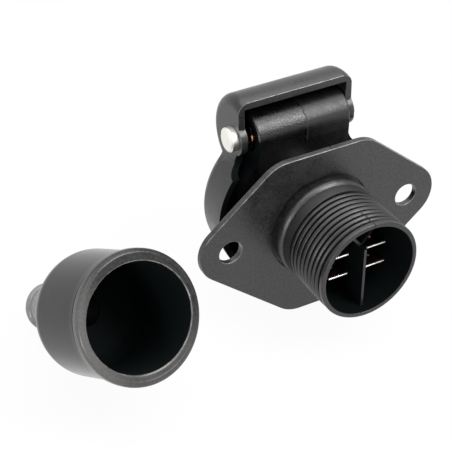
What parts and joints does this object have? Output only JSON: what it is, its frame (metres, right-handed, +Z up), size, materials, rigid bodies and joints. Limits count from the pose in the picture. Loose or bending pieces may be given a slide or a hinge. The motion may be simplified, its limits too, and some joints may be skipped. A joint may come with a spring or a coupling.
{
  "type": "three-pin panel socket",
  "caption": "Black plastic panel socket with a diamond flange, threaded cable barrel, blade terminals parted by walls, sprung flap lid on a hinge pin, and a loose rubber cable boot.",
  "frame": {"origin": "plug axis on the rear face of the flange, midway between the fixing holes", "axes": "X along the line of the fixing holes, +Y towards the plug side and the lid, +Z up, the hinge being on top"},
  "size_m": [0.1242, 0.0604, 0.0648],
  "materials": {
    "body_plastic": "satin black moulded plastic, finely mottled",
    "lid_plastic": "satin black moulded plastic",
    "contact_metal": "tinned",
    "pin_metal": "nickel plated",
    "spring_wire": "drawn wire with a copper tone",
    "boot_rubber": "matte"
  },
  "bodies": {
    "socket": {"socket_body": "body_plastic", "contact_left": "contact_metal", "contact_right": "contact_metal", "contact_top": "contact_metal", "hinge_spring": "spring_wire", "cable_boot": "boot_rubber"},
    "lid": {"lid": "lid_plastic", "hinge_pin": "pin_metal"}
  },
  "joints": [
    {"name": "lid_hinge", "type": "hinge", "parent": "socket", "child": "lid", "pos_m": [0, 0.0182, 0.0237], "axis": [1, 0, 0], "range_deg": [0, 105], "stiffness_Nm_per_rad": 0.027, "springref_deg": -63.03, "deforming": ["hinge_spring"]}
  ]
}
